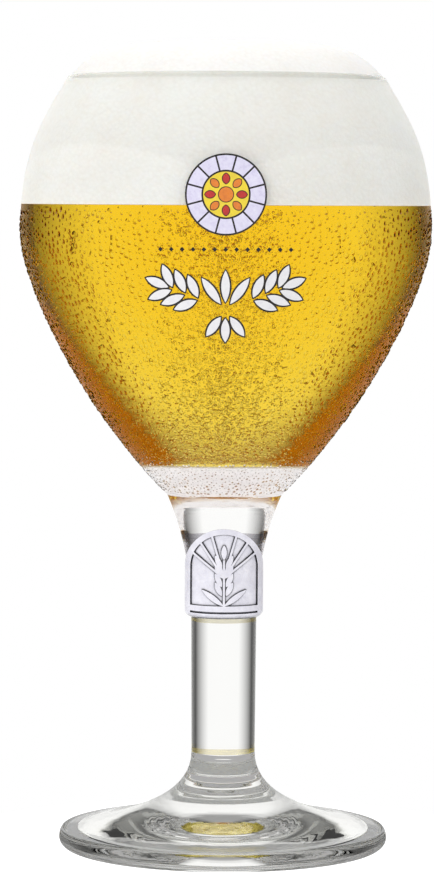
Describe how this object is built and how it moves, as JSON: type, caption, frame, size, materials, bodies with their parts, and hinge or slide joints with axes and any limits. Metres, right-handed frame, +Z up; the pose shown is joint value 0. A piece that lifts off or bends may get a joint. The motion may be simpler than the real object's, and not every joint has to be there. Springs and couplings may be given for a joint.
{
  "type": "stemmed chalice beer glass",
  "caption": "Balloon-bowled stemmed chalice with moulded seals on its neck, a wide foot and enamel decoration, filled with golden beer under a head of foam.",
  "frame": {"origin": "centre of the ring under the foot, on the table", "axes": "+Z up along the axis of the glass, -Y towards the decorated front, +X to the right seen from the front"},
  "size_m": [0.0962, 0.0963, 0.189],
  "materials": {
    "clear_glass": "fire-polished clear glass",
    "moulded_glass": "moulded clear glass in relief",
    "beer": "clear golden liquid with rising bubbles",
    "foam": "fine, matt, off-white foam",
    "enamel_black": "fired enamel, semi-gloss",
    "enamel_white": "fired enamel, semi-gloss",
    "enamel_lilac": "fired enamel, semi-gloss",
    "enamel_yellow": "fired enamel, semi-gloss",
    "enamel_red": "fired enamel, semi-gloss",
    "enamel_orange": "fired enamel, semi-gloss"
  },
  "bodies": {
    "root": {"bowl": "clear_glass", "neck": "clear_glass", "stem": "clear_glass", "foot": "clear_glass", "front_seal": "moulded_glass", "back_seal": "moulded_glass", "beer": "beer", "foam_head": "foam", "enamel_black": "enamel_black", "enamel_white": "enamel_white", "enamel_lilac": "enamel_lilac", "enamel_yellow": "enamel_yellow", "enamel_red": "enamel_red", "enamel_orange": "enamel_orange"}
  },
  "joints": []
}
